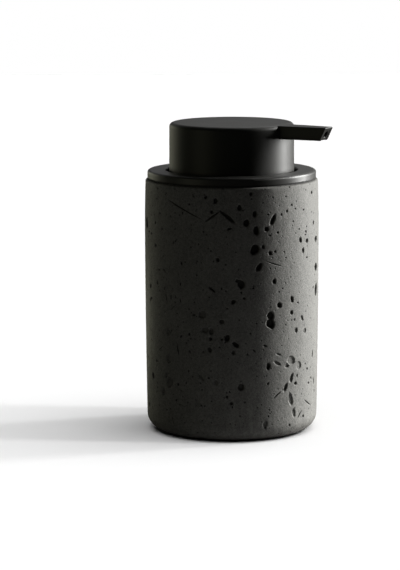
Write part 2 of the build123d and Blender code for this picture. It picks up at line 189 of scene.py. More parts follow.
def scattered(wire, coords, spacing, share, radius):
    # round specks in some of the cells, with the radius as a share of the spacing
    cells = {"Vector": coords, "Scale": 1 / spacing, "Randomness": 1.0}
    away = wire.node("ShaderNodeTexVoronoi", {}, cells, "Distance")
    lot = wire.node("ShaderNodeTexVoronoi", {}, cells, "Color")
    edge = stoneLook["speckEdge"]
    specks = ramp(wire, away, [(radius * (1 - edge), 1.0), (radius * (1 + edge), 0.0)])
    return specks * (lot > 1 - share)


def stoneStreaks(wire, coords):
    # pale upright runs that fade out above the foot
    look = stoneLook
    squeeze = (1, 1, look["streakWidth"] / look["streakHeight"])
    squeezed = wire.node("ShaderNodeMapping", {}, {"Vector": coords, "Scale": squeeze})
    height = wire.node("ShaderNodeSeparateXYZ", {}, {0: coords}, "Z")
    low = ramp(wire, height * (1 / look["streakTop"]), [(look["streakFade"], 1.0), (1.0, 0.0)])
    runs = noise(wire, squeezed, look["streakWidth"])
    return ramp(wire, runs, [(look["streakFrom"], 0.0), (look["streakFull"], 1.0)]) * low


def stoneMaterial():
    look = stoneLook
    material, wire = newShader("castStone")
    coords = objectCoords(wire)
    clouds = noise(wire, coords, look["cloudSize"], detail=4.0, roughness=0.6)
    swell = noise(wire, coords, look["swellSize"])
    grain = noise(wire, coords, look["grainSize"], detail=3.0, roughness=0.6)
    dust = noise(wire, coords, look["dustSize"], roughness=0.6)
    cloudShare, swellShare, grainShare, dustShare = look["toneShares"]
    tone = clouds * cloudShare + swell * swellShare + grain * grainShare + dust * dustShare
    lightness = ramp(wire, tone, [(look["darkBelow"], 0.0), (look["paleAbove"], 1.0)])
    lightness = lightness + stoneStreaks(wire, coords) * look["streakTone"]
    stone = blendColours(wire, lightness, look["dark"], look["pale"])
    # painted shade in the pinholes and specks: darker in colour, and sunk by the bump too
    pinholes = scattered(wire, coords, look["pinholeSpacing"], look["pinholeShare"], look["pinholeRadius"])
    specks = scattered(wire, coords, look["speckSpacing"], look["speckShare"], look["speckRadius"])
    small = wire.maths("MAXIMUM", pinholes * look["pinholeShade"], specks * look["speckShade"])
    # painted shade: the floors of the hollows are darkened from a vertex attribute
    depth = wire.node("ShaderNodeAttribute", {"attribute_name": "paintedHollowShade"}, {}, "Fac")
    shade = wire.maths("MAXIMUM", depth, small)
    grainRelief, dustRelief, speckRelief = look["reliefShares"]
    relief = grain * grainRelief + dust * dustRelief - small * speckRelief
    finishShader(wire, {
        "Base Color": blendColours(wire, shade, stone, look["pit"]),
        "Roughness": look["roughness"] + grain * look["grainRoughness"],
        "Specular IOR Level": look["specular"],
        "Normal": bump(wire, relief, look["grainDepth"], bump(wire, swell, look["swellDepth"])),
    })
    return material


plasticLook = {
    "grainSize": 0.28 * mm,
    "grainDepth": 0.006 * mm,
    "patchSize": 12 * mm,
    "patchTint": 1.25,
    "polish": 0.05,  # taken off the roughness, to which patches and grain then add
    "patchRoughness": 0.08,
    "grainRoughness": 0.03,
}


def mouldedPlastic(name, colour, roughness, specular=0.5):
    look = plasticLook
    material, wire = newShader(name)
    coords = objectCoords(wire)
    grain = noise(wire, coords, look["grainSize"], roughness=0.6)
    patches = noise(wire, coords, look["patchSize"], detail=3.0)
    least = roughness - look["polish"]
    finishShader(wire, {
        "Base Color": blendColours(wire, patches, colour, tinted(colour, look["patchTint"])),
        "Roughness": least + patches * look["patchRoughness"] + grain * look["grainRoughness"],
        "Specular IOR Level": specular,
        "Normal": bump(wire, grain, look["grainDepth"]),
    })
    return material


milkyLook = {
    "streakSize": 3 * mm,
    "streakTint": 0.88,
    "streakRoughness": 0.1,
    "streakDepth": 0.01 * mm,
    "glow": 0.15,
    "glowReach": 1.5 * mm,
}


def milkyPlastic(name, colour, roughness):
    look = milkyLook
    material, wire = newShader(name)
    streaks = noise(wire, objectCoords(wire), look["streakSize"], detail=3.0)
    finishShader(wire, {
        "Base Color": blendColours(wire, streaks, tinted(colour, look["streakTint"]), colour),
        "Roughness": roughness + streaks * look["streakRoughness"],
        "Subsurface Weight": look["glow"],
        "Subsurface Scale": look["glowReach"],
        "Normal": bump(wire, streaks, look["streakDepth"]),
    })
    return material


rubberLook = {
    "dustSize": 0.5 * mm,
    "dustTint": 1.5,
    "dustDepth": 0.01 * mm,
    "roughness": 0.72,
    "dustRoughness": 0.12,
    "specular": 0.4,
}


def softRubber(name, colour):
    look = rubberLook
    material, wire = newShader(name)
    dust = noise(wire, objectCoords(wire), look["dustSize"], detail=3.0, roughness=0.6)
    finishShader(wire, {
        "Base Color": blendColours(wire, dust, colour, tinted(colour, look["dustTint"])),
        "Roughness": look["roughness"] + dust * look["dustRoughness"],
        "Specular IOR Level": look["specular"],
        "Normal": bump(wire, dust, look["dustDepth"]),
    })
    return material


steelLook = {
    "dark": grey(0.5),
    "pale": grey(0.62),
    "drawnSize": 0.4 * mm,
    "drawnRoughness": 0.1,
    "drawnDepth": 0.004 * mm,
}


def steel(name, roughness):
    look = steelLook
    material, wire = newShader(name)
    drawn = noise(wire, objectCoords(wire), look["drawnSize"], detail=3.0, roughness=0.6)
    finishShader(wire, {
        "Base Color": blendColours(wire, drawn, look["dark"], look["pale"]),
        "Metallic": 1.0,
        "Roughness": roughness + drawn * look["drawnRoughness"],
        "Normal": bump(wire, drawn, look["drawnDepth"]),
    })
    return material


finishes = {
    "castStone": stoneMaterial(),
    "blackPlastic": mouldedPlastic("blackPlastic", (0.014, 0.0138, 0.0122, 1.0), 0.46, specular=0.24),
    "collarPlastic": mouldedPlastic("collarPlastic", (0.019, 0.0187, 0.0168, 1.0), 0.4, specular=0.3),
    "nozzlePlastic": mouldedPlastic("nozzlePlastic", grey(0.017, 0.05), 0.38, specular=0.35),
    "innerPlastic": mouldedPlastic("innerPlastic", grey(0.022), 0.45),
    "barrelPlastic": milkyPlastic("barrelPlastic", grey(0.62), 0.32),
    "tubePlastic": milkyPlastic("tubePlastic", grey(0.7), 0.25),
    "pistonPlastic": milkyPlastic("pistonPlastic", grey(0.74), 0.4),
    "sealRubber": softRubber("sealRubber", grey(0.014)),
    "footRubber": softRubber("footRubber", grey(0.03)),
    "springSteel": steel("springSteel", 0.22),
    "ballSteel": steel("ballSteel", 0.08),
}

nodeFinishes = {
    "collar": "collarPlastic",
    "pump_head": "blackPlastic",
    "spout_nozzle": "nozzlePlastic",
    "closure_nut": "innerPlastic",
    "valve_cage": "innerPlastic",
    "stem_guide": "innerPlastic",
    "piston_retainer": "innerPlastic",
    "stem": "innerPlastic",
    "pump_barrel": "barrelPlastic",
    "dip_tube": "tubePlastic",
    "piston": "pistonPlastic",
    "rim_gasket": "sealRubber",
    "mouth_seal": "sealRubber",
    "barrel_gasket": "sealRubber",
    "stem_seal": "sealRubber",
    "base_pad": "footRubber",
    "inlet_ball": "ballSteel",
    "outlet_ball": "ballSteel",
}


def dress(piece, finish):
    piece.data.materials.clear()
    piece.data.materials.append(finishes[finish])


for nodeName, finish in nodeFinishes.items():
    dress(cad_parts[nodeName], finish)
print("materials ready")


# modelling helpers

weldDistance = 0.002 * mm


def deselectAll():
    if bpy.context.mode != "OBJECT":
        bpy.ops.object.mode_set(mode="OBJECT")
    bpy.ops.object.select_all(action="DESELECT")


def activate(piece):
    deselectAll()
    piece.select_set(True)
    bpy.context.view_layer.objects.active = piece


def editFaces(piece, mask):
    # goes into edit mode with only the masked faces selected
    activate(piece)
    mesh = piece.data
    bpy.context.tool_settings.mesh_select_mode = (False, False, True)
    mesh.vertices.foreach_set("select", np.zeros(len(mesh.vertices), bool))
    mesh.edges.foreach_set("select", np.zeros(len(mesh.edges), bool))
    mesh.polygons.foreach_set("select", mask)
    bpy.ops.object.mode_set(mode="EDIT")


def readAll(items, key):
    # one row of three numbers for each vertex or face
    values = np.empty(len(items) * 3)
    items.foreach_get(key, values)
    return values.reshape(-1, 3)


def smoothEdges(piece, angle):
    activate(piece)
    bpy.ops.object.shade_smooth_by_angle(angle=math.radians(angle))


def turnProfile(name, outline, steps):
    # one vertex is extruded along the outline of (radius, height), and the line is spun about Z
    deselectAll()
    bpy.ops.mesh.primitive_plane_add(size=mm)
    piece = bpy.context.object
    piece.name = name
    bpy.ops.object.mode_set(mode="EDIT")
    bpy.ops.mesh.merge(type="CENTER")
    bpy.ops.transform.translate(value=(outline[0][0], 0, outline[0][1]))
    for before, after in zip(outline, outline[1:]):
        move = (after[0] - before[0], 0, after[1] - before[1])
        bpy.ops.mesh.extrude_region_move(TRANSFORM_OT_translate={"value": move})
    bpy.ops.mesh.select_all(action="SELECT")
    bpy.ops.mesh.spin(steps=steps, angle=math.tau, center=(0, 0, 0), axis=(0, 0, 1))
    bpy.ops.mesh.select_all(action="SELECT")
    bpy.ops.mesh.remove_doubles(threshold=weldDistance)
    bpy.ops.mesh.select_all(action="SELECT")
    bpy.ops.mesh.normals_make_consistent(inside=False)
    bpy.ops.object.mode_set(mode="OBJECT")
    return piece


def arcPoints(centre, radius, startAngle, endAngle, count):
    points = []
    for step in range(count + 1):
        angle = math.radians(startAngle + (endAngle - startAngle) * step / count)
        points.append((centre[0] + radius * math.cos(angle), centre[1] + radius * math.sin(angle)))
    return points


# vessel, with its pits as real hollows

vesselLow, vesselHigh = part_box("vessel")
vesselSizes = {
    "radius": vesselHigh[0],
    "bottom": vesselLow[2],
    "rim": vesselHigh[2],
    "shoulderHeight": 24.5 * mm,
    "shoulderTaper": 0.4 * mm,
    "footTaper": 0.85 * mm,
    "footRounding": 7 * mm,
    "rimRounding": 1.0 * mm,
    "mouthWall": 6.6 * mm,
    "mouthDepth": 21 * mm,
    "mouthChamfer": 0.6 * mm,
    "wall": 7.4 * mm,
    "floor": 8 * mm,
    "bowlRounding": 6 * mm,
    "padSocket": 28.2 * mm,
    "padDepth": 1.1 * mm,
    "steps": 180,
    "rowHeight": 1.4 * mm,
    "footRows": 10,
    "rimRows": 5,
    "cavityRows": 6,
    "bowlRows": 6,
    "smoothAngle": 40,
}


def sideRadius(height):
    sizes = vesselSizes
    widest = sizes["rim"] - sizes["shoulderHeight"]
    if height > widest:
        reach, taper = sizes["shoulderHeight"], sizes["shoulderTaper"]
    else:
        reach, taper = widest - sizes["bottom"], sizes["footTaper"]
    bow = (taper**2 + reach**2) / (2 * taper)
    return sizes["radius"] - bow + math.sqrt(bow**2 - (height - widest) ** 2)


def vesselOutline():
    sizes = vesselSizes
    bottom, rim = sizes["bottom"], sizes["rim"]
    socketTop = bottom + sizes["padDepth"]
    footTop = bottom + sizes["footRounding"]
    footCentre = (sideRadius(footTop) - sizes["footRounding"], footTop)
    rimStart = rim - sizes["rimRounding"]
    rimCentre = (sideRadius(rimStart) - sizes["rimRounding"], rimStart)
    rows = round((rimStart - footTop) / sizes["rowHeight"])
    mouth = sizes["radius"] - sizes["mouthWall"]
    cavity = sizes["radius"] - sizes["wall"]
    ledge = rim - sizes["mouthDepth"]
    floor = bottom + sizes["floor"]
    bowl = sizes["bowlRounding"]
    outline = [(0, socketTop), (sizes["padSocket"], socketTop), (sizes["padSocket"], bottom)]
    outline += arcPoints(footCentre, sizes["footRounding"], -90, 0, sizes["footRows"])
    for row in range(1, rows + 1):
        height = footTop + (rimStart - footTop) * row / rows
        outline.append((sideRadius(height), height))
    outline += arcPoints(rimCentre, sizes["rimRounding"], 0, 90, sizes["rimRows"])[1:]
    outline += [(mouth + sizes["mouthChamfer"], rim), (mouth, rim - sizes["mouthChamfer"])]
    outline += [(mouth, ledge), (cavity, ledge)]
    for row in range(1, sizes["cavityRows"]):
        outline.append((cavity, ledge - (ledge - floor - bowl) * row / sizes["cavityRows"]))
    outline += arcPoints((cavity - bowl, floor + bowl), bowl, 0, -90, sizes["bowlRows"])
    outline.append((0, floor))
    return outline


# each hollow: turn from the spout in degrees, height, width and length in mm, lean from upright in degrees
# and depth in mm; the turns and heights are the output of a separate program, from given places
mainPits = [
    (-77, 112, 1.6, 1.6, 0, 0.9),
    (-70.5, 110.5, 2.3, 2.6, 0, 1),
    (-88.5, 108.5, 1.1, 1.1, 0, 0.7),
    (-93.5, 104.5, 1, 1, 0, 0.6),
    (-73, 105.5, 1.6, 1.7, 0, 0.9),
    (-61.5, 98, 1.4, 2.7, 75, 1),
    (-78.5, 96.5, 1, 1, 0, 0.6),
    (-119.5, 88, 1.4, 2.1, -10, 0.8),
    (-69, 84, 1.8, 2, 0, 0.9),
    (-83, 83, 1, 1, 0, 0.6),
    (-94.5, 81.5, 1.1, 2.1, -20, 0.7),
    (-115.5, 77, 1.2, 1, 0, 0.6),
    (-110, 77.5, 1.2, 1, 0, 0.6),
    (-73, 70.5, 1.3, 5.3, -52, 0.8),
    (-66.5, 71, 1.1, 1.1, 0, 0.6),
    (-117.5, 71, 1.3, 2.4, 0, 0.8),
    (-95.5, 72, 0.9, 1.9, 0, 0.6),
    (-109.5, 69, 0.9, 2, 0, 0.5),
    (-128, 68.5, 1.5, 1.8, 0, 0.6),
    (-103.5, 65.5, 0.8, 3, 0, 0.5),
    (-95.5, 64.5, 0.9, 1.9, -10, 0.6),
    (-99.5, 66, 0.7, 2.4, -15, 0.4),
    (-59, 65, 2.4, 2, -20, 1),
    (-63, 62, 1, 1, 0, 0.6),
    (-127, 63, 1.6, 1.5, 0, 0.6),
    (-117.5, 114, 1.1, 1, 0, 0.6),
    (-114.5, 103, 1.2, 1, 0, 0.6),
    (-118, 109.5, 1, 1, 0, 0.5),
    (-101, 90.5, 0.9, 1.8, 0, 0.4),
    (-112, 96, 1.4, 1.6, 30, 0.4),
    (-85.5, 58.5, 1.8, 1, 0, 0.6),
    (-79.5, 59, 4, 3.6, -30, 0.85),
    (-66.5, 56, 2.6, 1.7, 0, 0.9),
    (-77.5, 52, 3.4, 3, 0, 0.75),
    (-73.5, 51.5, 2.6, 3, 0, 0.8),
    (-74, 48, 1.7, 1.8, 0, 0.8),
    (-63, 48.5, 2.6, 3.4, 0, 1.2),
    (-74.5, 43, 2, 2.7, -20, 0.8),
    (-79, 42, 1.1, 1.1, 0, 0.5),
    (-106, 49, 2.7, 3.7, 0, 0.5),
    (-98, 42, 0.9, 7.4, -13, 0.5),
    (-89, 49.5, 1.4, 1.9, 0, 0.6),
    (-88.5, 41.5, 1, 2.3, -10, 0.5),
    (-106, 37, 3.3, 4.5, 0, 0.55),
    (-125.5, 27, 2.2, 3.2, 0, 0.7),
    (-109, 29, 2, 2.8, 15, 0.5),
    (-105.5, 26, 4, 5, 10, 0.75),
    (-112, 21, 2.2, 4.2, 0, 0.45),
    (-91.5, 27, 1, 1, 0, 0.6),
    (-89.5, 32.5, 0.7, 1.8, 0, 0.5),
    (-70.5, 28, 2, 2.8, -20, 0.5),
    (-80.5, 30, 1.3, 5.8, -43, 0.35),
    (-61.5, 24, 1, 1.1, 0, 0.6),
    (-60.5, 18.5, 1.9, 1.3, 0, 0.8),
    (-83.5, 18.5, 2.3, 3.7, -20, 0.4),
    (-109, 13, 1.2, 1.1, 0, 0.6),
    (-93, 8.5, 0.8, 0.8, 0, 0.5),
    (-73.5, 9.5, 0.8, 0.8, 0, 0.5),
    (-47.5, 113.5, 1.6, 2.1, 15, 0.9),
    (-55, 107.5, 2.3, 2.8, 0, 1),
    (-45, 104.5, 2.2, 3, 20, 1.1),
    (-50.5, 100.5, 3, 3.6, -10, 1.3),
    (-44, 97, 2.8, 4.6, -10, 1.5),
    (-32.5, 101.5, 2.2, 5.6, 25, 1.3),
    (-37, 97.5, 2.2, 2.4, 20, 1.2),
    (-36, 104, 1.1, 1.1, 0, 0.7),
    (-26, 103.5, 1.1, 1.6, -15, 0.8),
    (-29, 95.5, 1.1, 1.4, 0, 0.8),
    (-34.5, 94.5, 0.8, 1.4, 50, 0.5),
    (-45, 88.5, 3.8, 5.8, 30, 1.9),
    (-39.5, 89.5, 1.6, 2.2, 10, 1),
    (-34.5, 86.5, 1.9, 2, 0, 1),
    (-31, 87, 1.3, 1.4, 0, 0.8),
    (-24, 86.5, 0.9, 0.9, 0, 0.6),
    (-42, 80.5, 2.4, 4.6, 38, 1.5),
    (-54, 73, 3.6, 4.5, -30, 1.4),
    (-56.5, 74.5, 1.8, 2, -45, 0.8),
    (-46, 71, 1.2, 1.2, 0, 0.7),
    (-31.5, 73.5, 2.1, 2.6, 0, 1.2),
    (-52, 66.5, 1.4, 2.1, -65, 0.6),
    (-27.5, 62.5, 2.5, 2.8, -10, 1.3),
    (-17, 64.5, 1.9, 3.3, -10, 1.1),
    (-17.5, 58.5, 1.5, 2.4, -10, 0.9),
    (-34, 58, 3.7, 4, 0, 1.5),
    (-34, 54.5, 4.2, 5, 0, 1.7),
    (-9, 91, 1.7, 2.8, -8, 0.9),
    (-1.5, 90, 1.8, 2.3, 0, 0.8),
    (-6, 86, 1.5, 2.8, 0, 0.8),
    (-5.5, 104.5, 1.3, 1, 0, 0.7),
    (-17.5, 107.5, 1.2, 1.3, 0, 0.7),
    (-14, 105.5, 1, 1, 0, 0.6),
    (6, 111.5, 1.8, 1.4, 0, 0.7),
    (-19, 115.5, 1, 1, 0, 0.6),
    (-22.5, 111.5, 0.9, 0.9, 0, 0.5),
    (-32.5, 111.5, 1, 1, 0, 0.6),
    (-10.5, 96, 1.1, 0.9, 0, 0.6),
    (-3.5, 93, 1.2, 0.9, 0, 0.6),
    (8.5, 97.5, 1.8, 1.8, 0, 0.6),
    (14, 89.5, 4, 3, 0, 1),
    (14.5, 76.5, 4.2, 4, 0, 1.1),
    (15, 66, 4.4, 6, 0, 1.1),
    (-1.5, 82.5, 1.2, 0.9, 0, 0.5),
    (-11.5, 62.5, 1.2, 1, 0, 0.6),
    (-25, 70, 0.9, 0.9, 0, 0.6),
    (-28, 68.5, 0.9, 0.9, 0, 0.6),
    (-7, 55, 1.9, 2.8, -10, 0.5),
    (-14.5, 55, 1.2, 1.5, 0, 0.7),
    (-13, 50, 2, 2.4, 0, 0.6),
    (-3.5, 49, 2.2, 2, 0, 0.45),
    (-57.5, 45.5, 2.2, 3.9, -60, 1.2),
    (-59, 42, 1.9, 1.8, 0, 0.7),
    (-38, 44.5, 1.2, 2.6, -65, 0.7),
    (-28, 40, 1.1, 3.8, -65, 0.35),
    (-29, 36, 1.5, 4.3, -62, 0.5),
    (-35.5, 35, 2.3, 3.3, 10, 1.2),
    (-17.5, 36.5, 4.4, 4.4, 30, 0.6),
    (-21, 34.5, 2.2, 2.2, 20, 0.6),
    (-10, 33.5, 3.2, 3.9, -5, 0.5),
    (-17, 28.5, 1.8, 5, 20, 0.6),
    (-22, 24.5, 1.8, 4.6, 25, 0.7),
    (-11.5, 29, 1.2, 1.6, 20, 0.7),
    (-13, 25.5, 1.5, 1.9, 30, 0.8),
    (2.5, 24, 1.6, 1.1, 0, 0.6),
    (-17.5, 18.5, 2.5, 6.6, -12, 0.6),
    (-14.5, 12, 2, 4.8, -14, 0.5),
    (-54, 26, 3.4, 3.3, 0, 1.2),
    (-51.5, 19, 1.4, 1.2, 0, 0.5),
    (-37.5, 8.5, 2.4, 2.9, 25, 0.6),
    (-50, 41, 1, 1.4, 0, 0.5),
    (-44, 55, 1, 1, 0, 0.6),
    (-45.5, 42.5, 0.9, 3, -45, 0.4),
    (8.5, 37, 1.3, 4.3, 10, 0.5),
    (12, 24, 1.3, 4.5, 5, 0.5),
]

# each scratch: turn and height at both ends, width, depth; the ends come from that program too, and the
# first four were then lengthened
scratches = [
    (-80, 99.8, -65, 107, 1.1, 0.55),
    (-69, 107, -56.5, 99.9, 2.1, 0.9),
    (-113, 112, -74, 100.3, 0.75, 0.45),
    (-39.5, 83.3, -23.5, 79.5, 0.6, 0.4),
    (-32.5, 19.5, -25, 23.5, 0.7, 0.5),
    (-5, 17.5, 8, 12.5, 0.65, 0.45),
    (-11.5, 8.5, -5, 13, 0.65, 0.45),
]

# lengths in mm as in the lists above, apart from footZone and skin
pitSizes = {
    "seed": 11,
    "heights": (4, 114.5),
    "spread": 0.35,  # of the chipped edge round the listed pits, where they are wider than spreadFrom
    "spreadFrom": 1.45,
    "lipWidth": 0.3,  # of the chipped edge, which slopes at 45 degrees
    "lipShare": 0.3,
    "wallWidth": 0.1,  # of the steep wall inside it, and its share of the hollow's width
    "wallShare": 0.09,
    "darkFrom": 0.1,  # depth as a share of the width, from which painted shade darkens a hollow's floor
    "darkSpan": 0.3,
    "shadeFrom": 0.7,  # of the chipped edge, where the painted shade begins
    "shadeSpan": 0.3,  # of the edge and the wall, over which it grows
    "lobes": (2, 3, 5),  # of the outline's ripples
    "ripple": 0.2,
    "rippleRange": (0.3, 1),
    "cells": (0.7, 0.35, 0.175),  # rough face lengths, from one refining to the next
    "refineMargin": 0.12,
    "wideFrom": 6,  # finest cells across, from which only a hollow's wall has the finest faces
    "wallFrom": 0.55,
    "footZone": 9 * mm,  # above the floor, where the foot's rounding is outside too
    "skin": 2 * mm,  # below the widest radius, what counts as outside higher up
}

# scattered pits: turns in degrees, widths in mm, stretch and depth as shares of the width; a bias above 1
# makes most of them narrow
backPits = {
    "count": 46,
    "turns": (25, 225),
    "narrowest": 1.5,
    "span": 2.3,
    "bias": 1,
    "stretch": (0.9, 1.6),
    "lean": 40,
    "depth": (0.3, 0.5),
}

smallPits = {
    "count": 262,
    "turns": (0, 360),
    "narrowest": 0.5,
    "span": 0.9,
    "bias": 2.2,
    "stretch": (0.9, 1.8),
    "lean": 35,
    "depth": (0.45, 0.75),
}

backScratches = {
    "count": 26,
    "turns": (25, 265),
    "heights": (8, 108.5),
    "widths": (0.35, 0.6),
    "lengths": (3, 8),
    "lean": 70,
    "depth": 0.3,
}


def listedHollows():
    sizes = pitSizes
    hollows = []
    for turn, height, width, length, lean, depth in mainPits:
        spread = sizes["spread"] if width > sizes["spreadFrom"] else 0
        hollows.append((turn, height, width + spread, length + spread, lean, depth))
    for firstTurn, firstHeight, lastTurn, lastHeight, width, depth in scratches:
        across = math.radians(lastTurn - firstTurn) * vesselSizes["radius"] / mm
        rise = lastHeight - firstHeight
        lean = math.degrees(math.atan2(across, rise))
        middle = ((firstTurn + lastTurn) / 2, (firstHeight + lastHeight) / 2)
        hollows.append((*middle, width, math.hypot(across, rise), lean, depth))
    return hollows


def scatteredHollows():
    draw = random.Random(pitSizes["seed"])
    hollows = []
    for kind in (backPits, smallPits):
        for _ in range(kind["count"]):
            width = kind["narrowest"] + kind["span"] * draw.random() ** kind["bias"]
            turn = draw.uniform(*kind["turns"])
            height = draw.uniform(*pitSizes["heights"])
            length = width * draw.uniform(*kind["stretch"])
            lean = draw.uniform(-kind["lean"], kind["lean"])
            depth = width * draw.uniform(*kind["depth"])
            hollows.append((turn, height, width, length, lean, depth))
    for _ in range(backScratches["count"]):
        turn = draw.uniform(*backScratches["turns"])
        height = draw.uniform(*backScratches["heights"])
        width = draw.uniform(*backScratches["widths"])
        length = draw.uniform(*backScratches["lengths"])
        lean = draw.uniform(-backScratches["lean"], backScratches["lean"])
        hollows.append((turn, height, width, length, lean, backScratches["depth"]))
    return hollows


def unrolled(places):
    # turns in degrees and heights in mm
    return np.degrees(np.arctan2(places[:, 1], places[:, 0])), places[:, 2] / mm


def hollowReach(hollow, turns, heights):
    # distances from the hollow's middle, across and along it, as shares of its outline
    turn, height, width, length, lean, _ = hollow
    swing = (turns - turn + 180) % 360 - 180
    across = np.radians(swing) * vesselSizes["radius"] / mm
    rise = heights - height
    tilt = math.radians(lean)
    along = across * math.sin(tilt) + rise * math.cos(tilt)
    beside = across * math.cos(tilt) - rise * math.sin(tilt)
    return beside / (width / 2), along / (length / 2)


def onOutside(places):
    radii = np.hypot(places[:, 0], places[:, 1])
    inner = vesselSizes["radius"] - vesselSizes["footRounding"]
    low = places[:, 2] < pitSizes["footZone"]
    return (radii > inner) & (low | (radii > vesselSizes["radius"] - pitSizes["skin"]))


def refineRound(piece, hollows, cell):
    # halves the faces, which come out about as long as cell, round each hollow that needs them
    sizes = pitSizes
    places = readAll(piece.data.polygons, "center")
    turns, heights = unrolled(places)
    margin = sizes["refineMargin"] + cell
    finest = cell == sizes["cells"][-1]
    mask = np.zeros(len(places), bool)
    for hollow in hollows:
        _, _, width, length, _, _ = hollow
        side, along = hollowReach(hollow, turns, heights)
        near = np.hypot(side / (1 + 2 * margin / width), along / (1 + 2 * margin / length)) < 1
        if finest and width > sizes["wideFrom"] * cell:
            near &= np.hypot(side, along) > sizes["wallFrom"]
        mask |= near
    mask &= onOutside(places)
    editFaces(piece, mask)
    bpy.ops.mesh.subdivide(number_cuts=1)
    bpy.ops.object.mode_set(mode="OBJECT")


def sinkHollows(piece, hollows):
    sizes = pitSizes
    mesh = piece.data
    places = readAll(mesh.vertices, "co")
    normals = readAll(mesh.vertices, "normal")
    turns, heights = unrolled(places)
    outside = onOutside(places)
    sunk = np.zeros(len(places))
    shade = np.zeros(len(places))
    draw = random.Random(sizes["seed"] + 1)
    for hollow in hollows:
        _, _, width, _, _, depth = hollow
        side, along = hollowReach(hollow, turns, heights)
        angle = np.arctan2(along, side)
        ripple = 0
        for lobes in sizes["lobes"]:
            phase = draw.uniform(0, math.tau)
            size = draw.uniform(*sizes["rippleRange"]) * sizes["ripple"] / lobes
            ripple = ripple + size * np.sin(lobes * angle + phase)
        share = np.hypot(side, along) * (1 + ripple)
        radius = width / 2
        inside = np.where(outside, (1 - share) * radius, 0)
        lip = min(sizes["lipWidth"], radius * sizes["lipShare"])
        wall = min(sizes["wallWidth"] + sizes["wallShare"] * width, radius - lip)
        fall = np.clip((inside - lip) / wall, 0, 1)
        sunk = np.maximum(sunk, np.clip(inside, 0, lip) + fall * (2 - fall) * max(depth - lip, 0))
        # painted shade: deep, narrow hollows get a darker floor colour, where shade falls in them
        paintedShadeStrength = min(max((depth / width - sizes["darkFrom"]) / sizes["darkSpan"], 0.0), 1.0)
        reach = sizes["shadeSpan"] * lip + sizes["shadeSpan"] * wall
        dark = np.clip((inside - sizes["shadeFrom"] * lip) / reach, 0, 1)
        shade = np.maximum(shade, dark * paintedShadeStrength)
    places -= normals * (sunk * mm)[:, None]
    mesh.vertices.foreach_set("co", places.ravel())
    attribute = mesh.attributes.new("paintedHollowShade", "FLOAT", "POINT")
    attribute.data.foreach_set("value", shade)
    mesh.update()


def makeVessel():
    piece = turnProfile("stoneVessel", vesselOutline(), vesselSizes["steps"])
    hollows = listedHollows() + scatteredHollows()
    for cell in pitSizes["cells"]:
        refineRound(piece, hollows, cell)
    sinkHollows(piece, hollows)
    smoothEdges(piece, vesselSizes["smoothAngle"])
    dress(piece, "castStone")
    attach(piece, "container")
    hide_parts("vessel")
    triangles = sum(len(face.vertices) - 2 for face in piece.data.polygons)
    print("vessel:", triangles, "triangles,", len(hollows), "hollows")


makeVessel()


# return spring with closed, ground ends

springLow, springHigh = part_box("return_spring")
springSizes = {
    "wire": 0.45 * mm,
    "bottom": springLow[2],
    "top": springHigh[2],
    "outer": springHigh[0],
    "turns": 6,
    "flatTurns": 0.75,  # at each end
    "wireSides": 14,
    "stepsPerTurn": 36,
    "smoothAngle": 50,
    "stroke": 13 * mm,
    "slack": 0.15 * mm,  # left between the squeezed spring and the piston retainer
}


def makeSpring():
    sizes = springSizes
    height = sizes["top"] - sizes["bottom"]
    pitch = height / sizes["turns"]
    deselectAll()
    middle = sizes["outer"] - sizes["wire"]
    bpy.ops.mesh.primitive_circle_add(
        vertices=sizes["wireSides"], radius=sizes["wire"], fill_type="NOTHING",
        location=(middle, 0, sizes["bottom"]), rotation=(math.pi / 2, 0, 0),
    )
    piece = bpy.context.object
    piece.name = "coilSpring"
    bpy.ops.object.transform_apply(location=True, rotation=True, scale=True)
    screw = piece.modifiers.new("coil", "SCREW")
    screw.axis = "Z"
    screw.screw_offset = pitch
    screw.iterations = sizes["turns"]
    screw.steps = screw.render_steps = sizes["stepsPerTurn"]
    screw.use_merge_vertices = False
    bpy.ops.object.modifier_apply(modifier="coil")
    mesh = piece.data
    places = readAll(mesh.vertices, "co")
    # most of the first and the last turn lies flat, and the rest climb between them
    ring = np.arange(len(places)) // sizes["wireSides"] / sizes["stepsPerTurn"]
    rise = places[:, 2] - sizes["bottom"] - ring * pitch
    climbing = sizes["turns"] - 2 * sizes["flatTurns"]
    lead = np.clip(ring - sizes["flatTurns"], 0, climbing) / climbing
    lead = lead * (height - 2 * sizes["wire"]) + sizes["wire"]
    places[:, 2] = sizes["bottom"] + np.clip(lead + rise, 0, height)
    mesh.vertices.foreach_set("co", places.ravel())
    bpy.ops.object.mode_set(mode="EDIT")
    bpy.context.tool_settings.mesh_select_mode = (False, True, False)
    bpy.ops.mesh.select_all(action="DESELECT")
    bpy.ops.mesh.select_non_manifold()
    bpy.ops.mesh.edge_face_add()
    bpy.ops.mesh.select_all(action="SELECT")
    bpy.ops.mesh.normals_make_consistent(inside=False)
    bpy.ops.object.mode_set(mode="OBJECT")
    smoothEdges(piece, sizes["smoothAngle"])
    dress(piece, "springSteel")
    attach(piece, "lid")
    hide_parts("return_spring")
    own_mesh(piece)
    print("spring:", len(mesh.polygons), "faces")


makeSpring()


# floor, backdrop, lamps and camera

